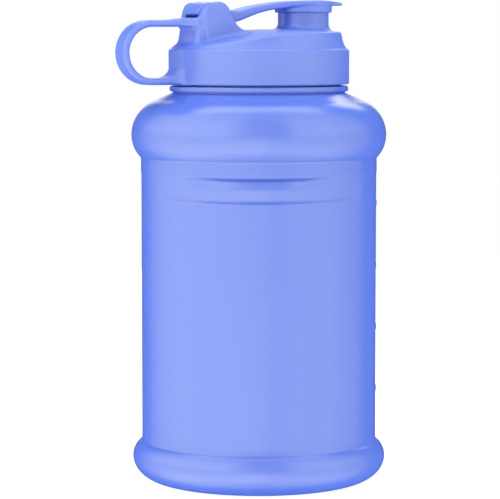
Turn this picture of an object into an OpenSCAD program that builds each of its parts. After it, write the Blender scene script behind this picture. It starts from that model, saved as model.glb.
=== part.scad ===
// Large water jug: a blow-moulded body with a screw lid, and a hinged flip cap over a drinking spout.
// Millimetres, +Z up. The origin is the centre of the base, on the jug's axis.
// The carry loop points along -X and the spout along +X. The flip cap's hinge runs along Y.

/* [Jug body] */
// Radius of the plain wall
body_r = 60; // [58:0.5:61]
// Largest radius, at the shoulder bulge
bulge_r = 65; // [64.5:0.1:66]
// Height of the shoulder bulge's widest line
bulge_z = 177.9; // [176:0.1:180]
// Largest radius of the foot bulge
foot_r = 64.7; // [64.2:0.1:65.5]
// Height of the foot bulge's widest line
foot_z = 13.1; // [12:0.1:14]
// Thickness of the blow-moulded wall
wall = 1.6; // [1.2:0.1:2]
// Height of the push-up at the middle of the base
punt_h = 5; // [3:0.5:8]
// Turn of the body's front and scale from the loop's plane when the lid is tight
body_turn = -25; // [-180:5:180]

/* [Body details] */
// Height of the ledge at the top of each grip hollow
ledge_z = 158.6; // [156:0.1:160]
// Depth of each grip hollow at its middle
hollow_depth = 1.4; // [0.6:0.1:1.4]
// Height of the lower line under each grip hollow
line_z = 147.5; // [144:0.1:148]
// Height of the lowest scale mark
scale_z = 47.9; // [40:0.1:50]
// Distance between scale marks
scale_step = 31.8; // [25:0.1:32]
// Number of scale marks
scale_count = 4; // [1:1:4]

/* [Neck] */
// Outer radius of the neck
neck_r = 42; // [41.8:0.1:42.2]
// Radius of the open mouth
mouth_r = 39.8; // [39:0.1:40]
// Height of the sealing rim
rim_z = 218; // [217.5:0.1:218.2]
// Outer radius of the bead under the lid
bead_r = 45.5; // [45:0.1:45.8]
// Height of the bead's top face
bead_z = 202.8; // [202.4:0.1:202.9]

/* [Thread] */
// Rise of the thread in one turn
pitch = 6; // [5.8:0.1:6.4]
// Turns of thread on the neck and in the lid
thread_turns = 1.25; // [0.75:0.25:1.5]
// Depth of each ridge
thread_depth = 1.6; // [1.2:0.1:1.7]

/* [Lid] */
// Outer radius of the skirt
skirt_r = 46; // [45.9:0.1:47]
// Height of the skirt's lower edge
skirt_z = 203.6; // [203.4:0.1:204.4]
// Height of the skirt's shoulder
shoulder_z = 221.5; // [221:0.1:222]
// Height of the deck round the spout
deck_z = 230; // [229:0.1:231]
// Slope of the deck towards the hinge, in degrees
deck_slope = 9.6; // [8:0.1:10]
// Rise of the deck's middle over its sides
deck_crown = 1.8; // [0.5:0.1:2]
// Thickness of the deck
deck_t = 2.4; // [2:0.1:2.6]

/* [Spout] */
// Distance of the spout from the jug's axis
spout_x = 25.2; // [24.6:0.1:25.4]
// Outer radius of the spout
spout_r = 13; // [12.5:0.1:13.2]
// Radius of the spout's bore
spout_bore_r = 11; // [10.5:0.1:11.2]
// Height of the spout's lip
spout_z = 242.8; // [242:0.1:243]

/* [Hinge] */
// Distance of the hinge pin behind the jug's axis
pin_x = -28.4; // [-29:0.1:-28]
// Height of the hinge pin
pin_z = 239; // [238.5:0.1:239.5]
// Radius of the hinge pin
pin_r = 1.5; // [1.2:0.1:1.8]
// Radius of the rounded top of each ear
ear_r = 6.2; // [5.8:0.1:6.4]
// Distance from the middle to each ear's outer face
ear_out = 15.1; // [14:0.1:15.5]
// Distance from the middle to each ear's inner face
ear_in = 8.8; // [8.5:0.1:9]

/* [Carry loop] */
// Distance from the jug's axis to the middle of the loop's round end
loop_x = -60.5; // [-64:0.1:-60]
// Outer radius of the loop's round end
loop_r = 16.2; // [16:0.1:16.3]
// Height of the loop's middle
loop_z = 219.8; // [219.6:0.1:220]
// Thickness of the band
loop_t = 3.4; // [3:0.1:4]
// Width of the band
loop_w = 13.4; // [11:0.2:15]

/* [Flip cap] */
// Reach of the thumb tab from the jug's axis
tab_x = 45.5; // [45:0.1:47]
// Outer radius of the cup that closes over the spout
cup_r = 14.6; // [14.5:0.1:15]
// Lower edge of the cup
cup_z = 241; // [240.6:0.1:241.4]
// Radius of the knuckle on the pin
knuckle_r = 6; // [5.5:0.1:6.1]
// Reach of the rear stop from the pin
stop_reach = 9.7; // [8:0.1:9.8]

/* [Hidden] */
$fn = 96;
blue = [0.49, 0.59, 0.95];
silicone = [0.80, 0.84, 0.96];
steel = [0.75, 0.76, 0.78];
far = 300;

// Points of a circular arc from angle a to angle b, about [x, y], in n equal steps
function arc(x, y, r, a, b, n = 12) =
    [for (i = [0 : n]) [x + r * cos(a + (b - a) * i / n), y + r * sin(a + (b - a) * i / n)]];

// ---- Jug body ----
foot_low_run = 17;
foot_low_x = foot_r - foot_low_run;
foot_top_r = 10;
foot_top_x = foot_r - foot_top_r;
bulge_low_r = 16.6;
bulge_low_x = bulge_r - bulge_low_r;
bulge_top_r = 18.7;
bulge_top_x = bulge_r - bulge_top_r;
bulge_top_end = 67;
band_r = body_r + 0.2;
base_ring_r = 42;
punt_r = (base_ring_r * base_ring_r + punt_h * punt_h) / (2 * punt_h);
punt_end = 90 - asin(base_ring_r / punt_r);

// Points of a quarter ellipse from straight down to straight out, about [x, y]
function quarter(x, y, rx, ry, n) =
    [for (i = [0 : n]) [x + rx * sin(90 * i / n), y - ry * cos(90 * i / n)]];

// Height of the shoulder's cone at radius r, where inset is how far inside the outer face it lies
function cone_z(r, inset) =
    let (a = bulge_top_end, q = bulge_top_r - inset)
    bulge_z + q * sin(a) + (bulge_top_x + q * cos(a) - r) * tan(90 - a);

// Side of the body from the foot bulge to the end of the shoulder's arc, inset by t
function side(t, wall_r, band) = concat(
    quarter(foot_low_x, foot_z, foot_low_run - t, foot_z - t, 14),
    arc(foot_top_x, foot_z, foot_top_r - t, 6, acos((wall_r - foot_top_x) / (foot_top_r - t)), 8),
    band,
    arc(bulge_low_x, bulge_z, bulge_low_r - t,
        -acos(((band == [] ? wall_r : band_r) - bulge_low_x) / (bulge_low_r - t)), -6, 7),
    arc(bulge_top_x, bulge_z, bulge_top_r - t, 0, bulge_top_end, 14)
);

outer_side = side(0, body_r, [[body_r, ledge_z - 0.2], [band_r, ledge_z]]);
inner_side = side(wall, body_r - wall, []);
chamfer = 0.5;
neck_root_r = 44;

body_outline = concat(
    arc(0, punt_h - punt_r, punt_r, 90, punt_end, 8),
    outer_side,
    [
        [neck_root_r, cone_z(neck_root_r, 0)],
        [bead_r, bead_z - 2.6],
        [bead_r, bead_z - chamfer],
        [bead_r - chamfer, bead_z],
        [neck_r, bead_z],
        [neck_r, rim_z - chamfer],
        [neck_r - chamfer, rim_z],
        [mouth_r + chamfer, rim_z],
        [mouth_r, rim_z - chamfer],
        [mouth_r, cone_z(mouth_r, wall)]
    ],
    [for (i = [len(inner_side) - 1 : -1 : 0]) inner_side[i]],
    arc(0, punt_h - punt_r + wall, punt_r, punt_end, 90, 8)
);

// A grip hollow: a ring set off the axis, so that it bites only one side of the wall
module grip_cutter(depth, half_angle, top, bottom) {
    shift = depth / (1 - cos(half_angle));
    r = body_r - depth + shift;
    translate([0, shift, 0])
        rotate_extrude()
            polygon([[r, top], [r + 6, top], [r + 6, bottom], [r + depth, bottom]]);
}

// A short raised bar of the volume scale
module scale_mark(z) {
    mark_half_h = 1.5;
    mark_proud = 0.3;
    mark_angle = 12;
    rotate([0, 0, -mark_angle / 2])
        rotate_extrude(angle = mark_angle)
            polygon([
                [body_r - 0.6, z - mark_half_h],
                [body_r, z - mark_half_h],
                [body_r + mark_proud, z - mark_half_h / 2],
                [body_r + mark_proud, z + mark_half_h / 2],
                [body_r, z + mark_half_h],
                [body_r - 0.6, z + mark_half_h]
            ]);
}

// ---- Thread ----
thread_steps = 32;
thread_z = 206.6;
thread_fade = 4;
ridge_root = 1.6;
ridge_crest = 0.7;

// A helical ridge on a wall of radius root, crest in radius at its middle. It starts and ends
// inside the wall, and its flanks run on into the wall.
module ridge(root, crest, z0, turns) {
    n = round(turns * thread_steps);
    step = (crest - root) / abs(crest - root);
    sunk = root - 0.5 * step;
    ring_points = [for (i = [0 : n])
        let (a = 360 * i / thread_steps, z = z0 + pitch * i / thread_steps,
             k = min(1, i / thread_fade, (n - i) / thread_fade),
             tip = root - 0.3 * step + (crest - root + 0.3 * step) * k)
        each [for (q = [[sunk, -ridge_root], [tip, -ridge_crest], [tip, ridge_crest], [sunk, ridge_root]])
            [q[0] * cos(a), q[0] * sin(a), z + q[1]]]];
    m = 4;
    sides = [for (i = [0 : n - 1], j = [0 : m - 1])
        let (a = i * m + j, b = i * m + (j + 1) % m, c = b + m, d = a + m) each [[a, d, b], [b, d, c]]];
    ends = [[for (j = [0 : m - 1]) j], [for (j = [m - 1 : -1 : 0]) n * m + j]];
    faces = concat(sides, ends);
    polyhedron(ring_points, step > 0 ? [for (f = faces) [for (j = [len(f) - 1 : -1 : 0]) f[j]]] : faces);
}

module jug_body() {
    color(blue) {
        difference() {
            rotate_extrude()
                polygon(body_outline);
            rotate([0, 0, body_turn]) {
                for (side = [0, 180]) {
                    rotate([0, 0, side]) {
                        grip_cutter(hollow_depth, 34, ledge_z, line_z);
                        grip_cutter(0.3, 60, line_z, line_z - 1.6);
                    }
                }
            }
        }
        ridge(neck_r, neck_r + thread_depth, thread_z, thread_turns);
        rotate([0, 0, body_turn])
            for (i = [0 : scale_count - 1])
                scale_mark(scale_z + i * scale_step);
    }
}

// ---- Lid ----
skirt_bore_r = neck_r + thread_depth + 0.7;
seat_z = rim_z + 2.3;
cavity_r = 38.5;
dome_foot_r = 44.6;
dome_r = 42.6;
dome_z = 226;
dome_lean = 0.17;
tower_z = 236;
lid_top_z = 250;

// Radius of the dome's wall at height z, above its foot
function dome_r_at(z) = dome_r - dome_lean * (z - dome_z);

lid_outline = concat(
    [[0, skirt_z]],
    arc(skirt_r - 0.8, skirt_z + 0.8, 0.8, -90, 0, 4),
    arc(skirt_r - 1.3, shoulder_z - 1.3, 1.3, 0, 90, 6),
    [
        [dome_foot_r, shoulder_z + 0.1],
        [43.6, 223.4],
        [dome_r, dome_z],
        [dome_r_at(lid_top_z), lid_top_z],
        [0, lid_top_z]
    ]
);

// The deck's top line along X: a ramp up from the hinge, a large blend, and a nearly level stretch,
// with the crown's fall towards both ends
blend_r = 116;
blend_x = 4;
level_slope = 0.8;
level_z = deck_z - 0.4;
blend_cx = blend_x + blend_r * sin(level_slope);
blend_cz = level_z - blend_r * cos(level_slope);
ramp_x = blend_cx - blend_r * sin(deck_slope);
ramp_z = blend_cz + blend_r * cos(deck_slope);
function deck_line_z(x) =
    x < ramp_x ? ramp_z - (ramp_x - x) * tan(deck_slope)
    : x > blend_x ? level_z + (x - blend_x) * tan(level_slope)
    : blend_cz + sqrt(blend_r * blend_r - (x - blend_cx) * (x - blend_cx));
function deck_top(x) = deck_line_z(x) + deck_crown * (1 - x * x / (dome_r * dome_r));

// Stands a drawing of the XZ plane upright, from y0 to y1
module upright(y0, y1) {
    translate([0, y1, 0])
        rotate([90, 0, 0])
            linear_extrude(y1 - y0)
                children();
}

// Everything under the deck's surface, lowered by drop. The deck line turns about a far axis along X,
// which crowns it from side to side.
crown_r = dome_r * dome_r / (2 * deck_crown);
module under_deck(drop) {
    axis_z = deck_z + deck_crown - crown_r;
    translate([0, 0, axis_z])
        rotate([0, 90, 0])
            rotate_extrude()
                polygon(concat([[0, 48], [0, -48]],
                               [for (x = [-48 : 4 : 48]) [deck_top(x) - drop - axis_z, x]]));
}

// Outline of an ear, with its round top about the pin and a long foot towards the spout
ear_foot_r = 7;
ear_front = 24;
ear_back_x = -38.4;
front_foot = [pin_x + 9.2, 233.6];
slot_x = -38.9;
ear_outline = concat(
    [[ear_back_x - 1.2, 222], [ear_back_x - 1.2, 226], [ear_back_x - 0.4, 233], [ear_back_x, 238],
     [ear_back_x + 1.1, 240.6], [ear_back_x + 2.8, 243.1], [ear_back_x + 5.2, pin_z + ear_r - 0.5]],
    arc(pin_x, pin_z, ear_r, 108, ear_front, 10),
    arc(front_foot[0] + ear_foot_r * cos(ear_front), front_foot[1] + ear_foot_r * sin(ear_front),
        ear_foot_r, 180 + ear_front, 262, 8),
    [[-13.8, 224]]
);

// Side outline of the carry loop, from the skirt round to the hinge tower
loop_in_r = loop_r - loop_t;
loop_top = loop_z + loop_r;
loop_low = loop_z - loop_r;
loop_fillet_r = 9;
loop_outline = concat(
    [[-38.8, loop_top + 1.5], [-43, loop_top + 1.4], [-47, loop_top + 0.7], [-52, loop_top]],
    arc(loop_x, loop_z, loop_r, 90, 270, 24),
    [[-42.5, loop_low], [-42.5, loop_low + loop_t + 15], [-45.5, loop_low + loop_t + 12]],
    arc(-55, loop_low + loop_t + loop_fillet_r, loop_fillet_r, 0, -90, 8),
    arc(loop_x, loop_z, loop_in_r, 270, 90, 24),
    [[-45, loop_top - loop_t], [-38.8, loop_top - loop_t]]
);

// Half of the carry loop between z0 and z1, which widens from root_x - 8 to its root at root_x
module loop_half(z0, z1, root_x) {
    half = loop_w / 2;
    edge = [[root_x + 2, half + 11], [root_x, half + 7.4], [root_x - 1.8, half + 4.2],
            [root_x - 3.4, half + 2.2], [root_x - 5.4, half + 0.8], [root_x - 8, half], [-90, half]];
    intersection() {
        upright(-25, 25)
            polygon(loop_outline);
        translate([0, 0, z0])
            linear_extrude(z1 - z0)
                polygon(concat(edge, [for (i = [len(edge) - 1 : -1 : 0]) [edge[i][0], -edge[i][1]]]));
    }
}

// The skirt, the dome under the deck, and the hinge tower, all within one turned outline
module shell() {
    intersection() {
        rotate_extrude()
            polygon(lid_outline);
        union() {
            under_deck(0);
            difference() {
                upright(-ear_out, ear_out)
                    union() {
                        polygon(ear_outline);
                        // The wall behind the slot, as high as the loop's top arm
                        polygon([[-46, 222], [-46, tower_z], [-36, tower_z], [-36, 222]]);
                    }
                // The slot between the ears, open to the front and down to the deck
                translate([slot_x, -ear_in, 222])
                    cube([40, 2 * ear_in, 40]);
            }
        }
    }
}

// The spout with its flared foot, before it is bored
spout_foot_r = 3.6;
spout_foot_z = deck_z + 0.2;
module spout_outside() {
    translate([spout_x, 0, 0])
        rotate_extrude()
            polygon(concat(
                [[0, spout_foot_z - 3], [spout_r + spout_foot_r, spout_foot_z - 3]],
                arc(spout_r + spout_foot_r, spout_foot_z + spout_foot_r, spout_foot_r, 270, 180, 8),
                [[spout_r, spout_z - 0.6], [spout_r - 0.6, spout_z], [0, spout_z]]
            ));
}

module screw_lid() {
    color(blue) {
        difference() {
            union() {
                shell();
                spout_outside();
                loop_half(loop_z, loop_top + 5, slot_x);
                loop_half(loop_low - 1, loop_z, -42.8);
            }
            // The bore that screws over the neck
            translate([0, 0, skirt_z - 4])
                cylinder(r = skirt_bore_r, h = seat_z - skirt_z + 4);
            // The hollow under the deck
            intersection() {
                translate([0, 0, seat_z - 1])
                    cylinder(r = cavity_r, h = 20);
                under_deck(deck_t);
            }
            translate([spout_x, 0, seat_z])
                cylinder(r = spout_bore_r, h = 40);
            // The pin goes in from the far ear and stops inside the near one
            translate([pin_x, ear_out + 1, pin_z])
                rotate([90, 0, 0])
                    cylinder(r = pin_r, h = 2 * ear_out - 1);
        }
        // The lid's ridge runs half a pitch below the neck's
        rotate([0, 0, 180])
            ridge(skirt_bore_r, neck_r + 0.5, thread_z, thread_turns);
    }
}

// ---- Gasket ----
gasket_gap = 0.15;
module lid_gasket() {
    color(silicone)
        rotate_extrude()
            polygon([[mouth_r - 0.6, rim_z + gasket_gap], [neck_r + 1.6, rim_z + gasket_gap],
                     [neck_r + 1.6, seat_z - gasket_gap], [mouth_r - 0.6, seat_z - gasket_gap]]);
}

// ---- Flip cap ----
knuckle_half = ear_in - 0.3;
cup_bore_r = spout_r + 0.3;
cup_roof_z = spout_z + 1.1;
stud_r = 2;

// Side outline of the cap, from the arm's root at the knuckle to the thumb tab
cap_top = [[pin_x + 2, pin_z - 1], [pin_x + 7, pin_z + 1], [-14.7, 240.7], [-10.8, 241.6], [-5.1, 243],
           [1.7, 244.2], [9.1, 245.25], [14.8, 245.7], [23.3, 246.1], [29.1, 246.15], [37.7, 245.75],
           [42.6, 245.3], [tab_x, 244.6]];
cap_under = [[tab_x, 243.4], [38, 243.5], [30, 243.9], [21, 243.8], [9.7, 241.9], [2.5, 241],
             [-3.2, 239.6], [-6.5, 238.5], [-9.9, 237.2], [-12.7, 236.1], [-16.1, 235.1],
             [pin_x + 8, 234.2], [pin_x + 2, 234.4]];

// The cap from above: an arm that widens into the disc, and a tab
module cap_plan() {
    disc_r = cup_r + 0.6;
    neck_half = 7.4;
    translate([spout_x, 0])
        circle(r = disc_r);
    polygon([[pin_x, knuckle_half], [pin_x + 8, knuckle_half], [0, neck_half + 1.1], [12, 9.6],
             [spout_x, disc_r - 1],
             [37, 8.2], [43, 7.4], [44.6, 6.2], [tab_x, 4.2],
             [tab_x, -4.2], [44.6, -6.2], [43, -7.4], [37, -8.2],
             [spout_x, 1 - disc_r], [12, -9.6], [0, -neck_half - 1.1], [pin_x + 8, -knuckle_half],
             [pin_x, -knuckle_half]]);
}

// The knuckle round the pin, with the flat-bottomed stop behind it
module knuckle() {
    upright(-knuckle_half, knuckle_half) {
        translate([pin_x, pin_z])
            circle(r = knuckle_r);
        polygon(concat(
            [[pin_x, pin_z - 2.5], [pin_x - stop_reach + 1.5, pin_z - 0.9], [pin_x - stop_reach, pin_z + 0.1]],
            [[pin_x - stop_reach + 0.5, pin_z + 1.5], [pin_x - stop_reach + 1.6, pin_z + 3.4],
             [pin_x - 5.4, pin_z + 5.2], [pin_x - 3, knuckle_r + pin_z - 0.4], [pin_x, pin_z + knuckle_r]]
        ));
    }
}

module flip_cap() {
    color(blue)
        difference() {
            union() {
                intersection() {
                    upright(-30, 30)
                        polygon(concat(cap_top, cap_under));
                    linear_extrude(far)
                        cap_plan();
                }
                translate([spout_x, 0, cup_z])
                    cylinder(r = cup_r, h = 244.6 - cup_z);
                knuckle();
            }
            translate([spout_x, 0, 0])
                difference() {
                    translate([0, 0, cup_z - 1])
                        cylinder(r = cup_bore_r, h = cup_roof_z - cup_z + 1);
                    cylinder(r = stud_r, h = far);
                }
            translate([pin_x, far / 2, pin_z])
                rotate([90, 0, 0])
                    cylinder(r = pin_r + 0.06, h = far);
        }
}

// ---- Seal ----
module spout_seal() {
    plug_r = spout_bore_r - 0.45;
    color(silicone)
        translate([spout_x, 0, 0])
            rotate_extrude()
                polygon([[stud_r, cup_roof_z], [stud_r, spout_z - 2.2], [plug_r - 1.6, spout_z - 2.2],
                         [plug_r - 0.5, spout_z - 2.7], [plug_r, spout_z - 2.2],
                         [plug_r, spout_z + 0.15], [cup_bore_r - 0.3, spout_z + 0.15],
                         [cup_bore_r - 0.3, cup_roof_z]]);
}

// ---- Pin ----
module hinge_pin() {
    color(steel)
        translate([pin_x, ear_out, pin_z])
            rotate([90, 0, 0])
                cylinder(r = pin_r, h = 2 * ear_out - 2);
}

jug_body();
screw_lid();
lid_gasket();
flip_cap();
spout_seal();
hinge_pin();
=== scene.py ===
"""Large water jug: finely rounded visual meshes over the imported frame, plastics, light and camera.

Lengths in the shape code are millimetres, as in the part's source, and become metres in make_piece.
The light and the camera are in metres.
"""

import math

import bpy
import numpy as np
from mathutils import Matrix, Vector

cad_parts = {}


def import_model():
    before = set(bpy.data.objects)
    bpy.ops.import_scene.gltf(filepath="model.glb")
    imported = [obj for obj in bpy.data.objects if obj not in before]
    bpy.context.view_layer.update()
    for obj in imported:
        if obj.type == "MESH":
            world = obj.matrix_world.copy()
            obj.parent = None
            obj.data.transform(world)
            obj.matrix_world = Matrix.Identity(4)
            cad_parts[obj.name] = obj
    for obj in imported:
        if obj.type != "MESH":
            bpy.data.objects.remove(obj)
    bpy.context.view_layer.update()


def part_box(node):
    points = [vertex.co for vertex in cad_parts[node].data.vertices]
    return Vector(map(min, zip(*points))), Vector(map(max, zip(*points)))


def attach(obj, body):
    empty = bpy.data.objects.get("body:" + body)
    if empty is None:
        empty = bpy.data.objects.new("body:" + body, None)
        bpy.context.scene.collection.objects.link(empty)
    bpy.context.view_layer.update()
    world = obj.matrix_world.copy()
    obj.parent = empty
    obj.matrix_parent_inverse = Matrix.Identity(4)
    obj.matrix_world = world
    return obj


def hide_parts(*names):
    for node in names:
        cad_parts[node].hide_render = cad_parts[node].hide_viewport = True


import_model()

MM = 0.001
# Grid steps of the solids that are meshed from distance fields
LID_STEP = 0.5
CAP_STEP = 0.4
# How far the grids reach past a node's box
LID_MARGIN = 1.5
CAP_MARGIN = 1.2
OUTLINE_STEP = 0.2
OUTLINE_MARGIN = 6.0
SLOPE_STEP = 0.06


def box_mm(node):
    """Lowest and highest corner of a CAD node, in millimetres."""
    low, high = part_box(node)
    return np.array(low) / MM, np.array(high) / MM


JUG_HI = box_mm("jug_body")[1]
LID_LO, LID_HI = box_mm("screw_lid")
CAP_LO, CAP_HI = box_mm("flip_cap")
SEAL_LO, SEAL_HI = box_mm("spout_seal")
GASKET_LO, GASKET_HI = box_mm("lid_gasket")
PIN_LO, PIN_HI = box_mm("hinge_pin")

# ---------------------------------------------------------------- sizes, from the frame's boxes
RIM_Z = JUG_HI[2]
BULGE_R = JUG_HI[0]
BODY_R = BULGE_R - 5.0
WALL = 1.6
BODY_TURN = math.radians(-25)

PIN_R = (PIN_HI[2] - PIN_LO[2]) / 2
PIN_X = (PIN_LO[0] + PIN_HI[0]) / 2
PIN_Z = (PIN_LO[2] + PIN_HI[2]) / 2
SKIRT_Z = LID_LO[2]
SKIRT_R = LID_HI[0]
EAR_OUT = PIN_HI[1]
EAR_IN = EAR_OUT - 6.3
EAR_R = LID_HI[2] - PIN_Z
SPOUT_X = (SEAL_LO[0] + SEAL_HI[0]) / 2
SPOUT_R = SEAL_HI[1]
SPOUT_BORE_R = SPOUT_R - 2.0
SPOUT_Z = 242.8
DECK_Z = 230.0
DECK_CROWN = 1.8
DOME_R = 42.6
DOME_Z = 226.0
DOME_LEAN = 0.17
SHOULDER_Z = 221.5
SKIRT_BORE_R = 44.3
HOLLOW_R = 38.5
LID_WALL = 2.4
LID_THREAD_DEPTH = 1.8
PIN_BORE_END = -13.1
SEAT_Z = GASKET_HI[2] + 0.15
LOOP_R = 16.2
LOOP_T = 3.4
LOOP_W = 13.4
LOOP_X = LID_LO[0] + LOOP_R
LOOP_Z = SKIRT_Z + LOOP_R


# ---------------------------------------------------------------- distance fields
def blend_min(a, b, k):
    """Union of two distance fields with a fillet of about k."""
    h = np.maximum(k - np.abs(a - b), 0) / k
    return np.minimum(a, b) - h * h * k / 4


def blend_max(a, b, k):
    """Intersection of two distance fields with a rounded edge of about k."""
    return -blend_min(-a, -b, k)


def polygon_distance(u, v, points):
    """Signed distance from (u, v) to a closed polygon, negative inside."""
    points = np.asarray(points, np.float32)
    best = np.full(u.shape, 1e9, np.float32)
    inside = np.zeros(u.shape, bool)
    for (ax, ay), (bx, by) in zip(points, np.roll(points, -1, 0)):
        ex, ey = bx - ax, by - ay
        length2 = ex * ex + ey * ey
        if length2 < 1e-9:
            continue
        wx, wy = u - ax, v - ay
        t = np.clip((wx * ex + wy * ey) / length2, 0, 1)
        best = np.minimum(best, (wx - ex * t) ** 2 + (wy - ey * t) ** 2)
        if abs(ey) > 1e-9:
            crosses = (ay > v) != (by > v)
            inside ^= crosses & (u < ax + (v - ay) * ex / ey)
    distance = np.sqrt(best)
    return np.where(inside, -distance, distance)


class Outline:
    """A polygon's distance field, tabled on a fine grid so that it is quick to read at many points."""

    def __init__(self, points):
        points = np.asarray(points, float)
        self.low = points.min(0) - OUTLINE_MARGIN
        count = np.ceil((points.max(0) + OUTLINE_MARGIN - self.low) / OUTLINE_STEP).astype(int) + 2
        u = self.low[0] + np.arange(count[0]) * OUTLINE_STEP
        v = self.low[1] + np.arange(count[1]) * OUTLINE_STEP
        self.table = polygon_distance(*np.meshgrid(u, v, indexing="ij"), points).astype(np.float32)

    def __call__(self, u, v):
        top = np.array(self.table.shape) - 1.001
        fu = np.clip((u - self.low[0]) / OUTLINE_STEP, 0, top[0])
        fv = np.clip((v - self.low[1]) / OUTLINE_STEP, 0, top[1])
        iu, iv = fu.astype(np.int32), fv.astype(np.int32)
        tu, tv = fu - iu, fv - iv
        t = self.table
        near = t[iu, iv] * (1 - tu) + t[iu + 1, iv] * tu
        far = t[iu, iv + 1] * (1 - tu) + t[iu + 1, iv + 1] * tu
        return near * (1 - tv) + far * tv


def arc(x, y, r, a, b, n):
    """n + 1 points of an arc about (x, y) from angle a to angle b, in degrees."""
    angles = [math.radians(a + (b - a) * i / n) for i in range(n + 1)]
    return [(x + r * math.cos(angle), y + r * math.sin(angle)) for angle in angles]


def sampled(field, low, counts, step):
    """The field on a grid, worked out a few layers at a time to save memory."""
    axes = [np.float32(low[i] + np.arange(counts[i]) * step) for i in range(3)]
    grid = np.empty(counts, np.float32)
    layers = 48
    for start in range(0, counts[0], layers):
        stop = min(start + layers, counts[0])
        grid[start:stop] = field(*np.meshgrid(axes[0][start:stop], axes[1], axes[2], indexing="ij"))
    return grid


def net_cells(grid, inside, cells):
    """Sum and count of the points where each cell's edges cross the surface, in cell units."""
    total = np.zeros((*cells, 3), np.float32)
    hits = np.zeros(cells, np.int8)
    corners = [(i, j, k) for i in (0, 1) for j in (0, 1) for k in (0, 1)]
    for a in corners:
        for axis in range(3):
            if a[axis]:
                continue
            b = list(a)
            b[axis] = 1
            cut_a = tuple(slice(a[i], a[i] + cells[i]) for i in range(3))
            cut_b = tuple(slice(b[i], b[i] + cells[i]) for i in range(3))
            crossed = inside[cut_a] != inside[cut_b]
            ga, gb = grid[cut_a][crossed], grid[cut_b][crossed]
            point = np.tile(np.array(a, np.float32), (len(ga), 1))
            point[:, axis] = ga / (ga - gb)
            total[crossed] += point
            hits[crossed] += 1
    return total, hits


def net_quads(inside, counts, index):
    """A quad round each grid edge that crosses the surface, facing outwards."""
    quads = []
    for axis in range(3):
        u, v = (axis + 1) % 3, (axis + 2) % 3
        lower = [slice(0, n) for n in counts]
        upper = list(lower)
        lower[axis], upper[axis] = slice(0, counts[axis] - 1), slice(1, counts[axis])
        crossed = inside[tuple(lower)] != inside[tuple(upper)]
        at = np.argwhere(crossed)
        at = at[(at[:, u] > 0) & (at[:, v] > 0) & (at[:, u] < counts[u] - 1) & (at[:, v] < counts[v] - 1)]
        solid_first = inside[tuple(lower)][tuple(at.T)]
        ring = []
        for du, dv in ((1, 1), (0, 1), (0, 0), (1, 0)):
            cell = at.copy()
            cell[:, u] -= du
            cell[:, v] -= dv
            ring.append(index[tuple(cell.T)])
        ring = np.stack(ring, 1)
        quads.append(np.where(solid_first[:, None], ring, ring[:, ::-1]))
    return np.concatenate(quads)


def surface_net(field, low, high, step):
    """Vertices, quads and normals of the field's zero surface, with each vertex moved onto it."""
    counts = np.ceil((high - low) / step).astype(int) + 1
    grid = sampled(field, low, counts, step)
    inside = grid < 0
    total, hits = net_cells(grid, inside, tuple(counts - 1))
    crossing = hits > 0
    index = np.full(crossing.shape, -1, np.int64)
    index[crossing] = np.arange(crossing.sum())
    vertices = low + (np.argwhere(crossing) + total[crossing] / hits[crossing][:, None]) * step
    for _ in range(3):
        value, slope = field_and_slope(field, vertices)
        move = value[:, None] * slope / np.maximum((slope**2).sum(1), 0.05)[:, None]
        length = np.linalg.norm(move, axis=1, keepdims=True)
        vertices = vertices - move * np.minimum(1, 0.35 * step / np.maximum(length, 1e-9))
    slope = field_and_slope(field, vertices)[1]
    normals = slope / np.maximum(np.linalg.norm(slope, axis=1, keepdims=True), 1e-9)
    return vertices, net_quads(inside, counts, index), normals


def field_and_slope(field, points):
    """The field's value and gradient at points."""
    p = points.astype(np.float64)
    slope = np.empty_like(p)
    for axis in range(3):
        ahead, behind = p.copy(), p.copy()
        ahead[:, axis] += SLOPE_STEP
        behind[:, axis] -= SLOPE_STEP
        slope[:, axis] = (field(*ahead.T) - field(*behind.T)) / (2 * SLOPE_STEP)
    return field(*p.T), slope


# ---------------------------------------------------------------- meshes
def make_piece(name, vertices, faces, material, body, node, normals=None):
    """A mesh piece in metres that stands for a CAD node and rides on its body."""
    mesh = bpy.data.meshes.new(name)
    mesh.from_pydata((np.asarray(vertices) * MM).tolist(), [], faces)
    mesh.validate()
    mesh.polygons.foreach_set("use_smooth", np.ones(len(mesh.polygons), bool))
    if normals is not None and len(normals) == len(mesh.vertices):
        mesh.normals_split_custom_set_from_vertices(normals.tolist())
    mesh.update()
    mesh.materials.append(material)
    piece = bpy.data.objects.new(name, mesh)
    bpy.context.scene.collection.objects.link(piece)
    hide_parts(node)
    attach(piece, body)
    return piece


def revolve(points, azimuths, shift=None, centre=(0.0, 0.0)):
    """Vertices and quads of a closed profile of (radius, z) turned about a vertical axis.

    shift(radius, z, azimuth) moves the wall outwards. Profile points at radius zero become poles.
    """
    profile = np.asarray(points, float)
    n, m = len(profile), len(azimuths)
    radius = np.repeat(profile[:, :1], m, 1)
    height = np.repeat(profile[:, 1:], m, 1)
    angle = np.repeat(np.asarray(azimuths)[None, :], n, 0)
    if shift is not None:
        radius = radius + shift(radius, height, angle)
    x = centre[0] + radius * np.cos(angle)
    y = centre[1] + radius * np.sin(angle)
    vertices = np.stack([x, y, height], -1).reshape(-1, 3)
    faces = []
    closed = profile[0, 0] > 1e-6
    rows = n if closed else n - 1
    for i in range(rows):
        a, b = i * m, ((i + 1) % n) * m
        for j in range(m):
            k = (j + 1) % m
            if profile[i, 0] < 1e-6:
                faces.append((a, b + k, b + j))
            elif profile[(i + 1) % n, 0] < 1e-6:
                faces.append((a + j, a + k, b))
            else:
                faces.append((a + j, a + k, b + k, b + j))
    return vertices, faces


def even_azimuths(n):
    """n equal steps round a circle, in radians."""
    return np.arange(n) * 2 * math.pi / n


def outward(faces):
    """The faces turned over, for a profile that runs the other way round."""
    return [face[::-1] for face in faces]


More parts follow.
